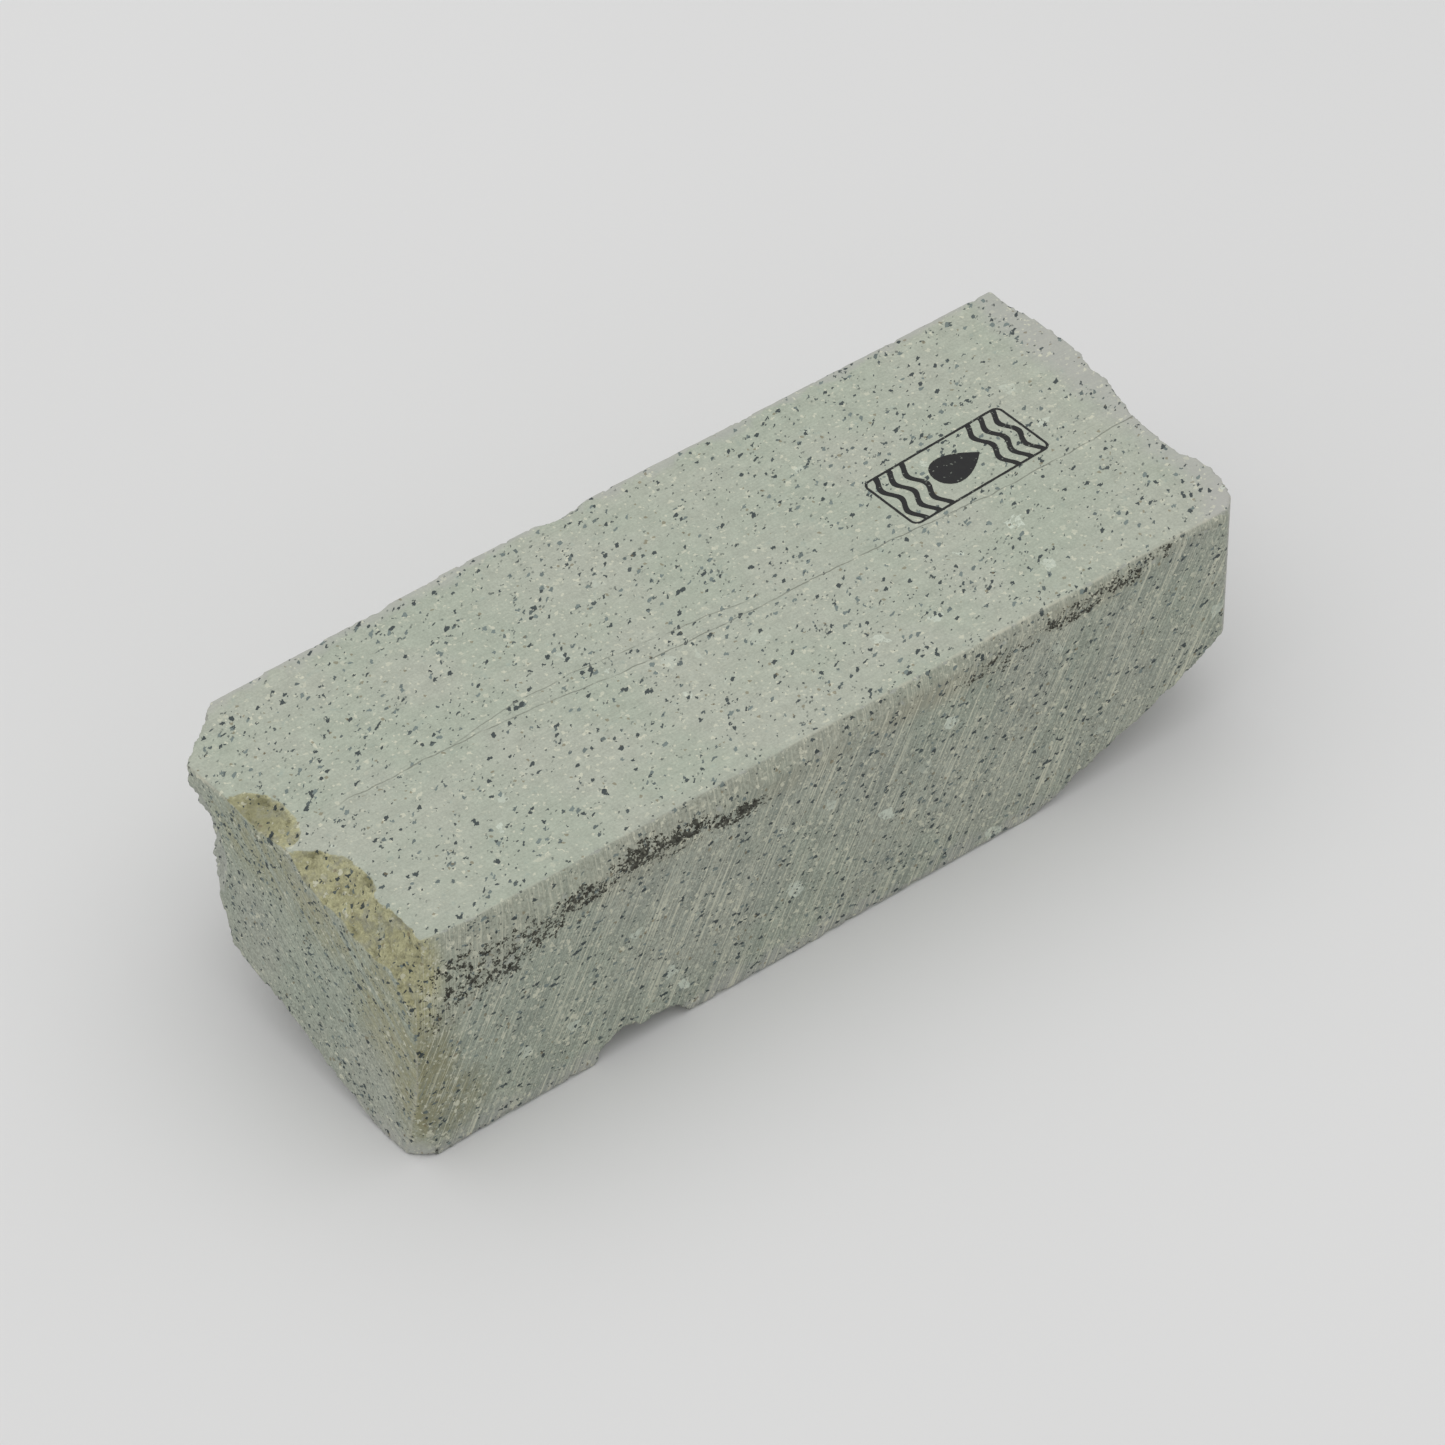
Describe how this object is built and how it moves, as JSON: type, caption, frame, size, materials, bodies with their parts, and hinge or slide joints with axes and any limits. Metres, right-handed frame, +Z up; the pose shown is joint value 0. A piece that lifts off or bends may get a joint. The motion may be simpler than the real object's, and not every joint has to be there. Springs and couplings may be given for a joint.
{
  "type": "sharpening whetstone",
  "caption": "Natural whetstone: a block of speckled grey-green tuff with a flat top, sawn sides, a split end, chipped edges and a printed stamp.",
  "frame": {"origin": "centre of the box round the block, on the surface that it stands on", "axes": "+X along the block towards the split end beside the stamp, +Y towards the back face, +Z up out of the flat working face"},
  "size_m": [0.2118, 0.0832, 0.0543],
  "materials": {
    "tuff": "matt grey-green volcanic tuff with dark and pale flecks, sawn sides and split ends",
    "black_ink": "matt black stamping ink"
  },
  "bodies": {
    "root": {"stone_block": "tuff", "ink_stamp": "black_ink", "ink_drop": "black_ink"}
  },
  "joints": []
}
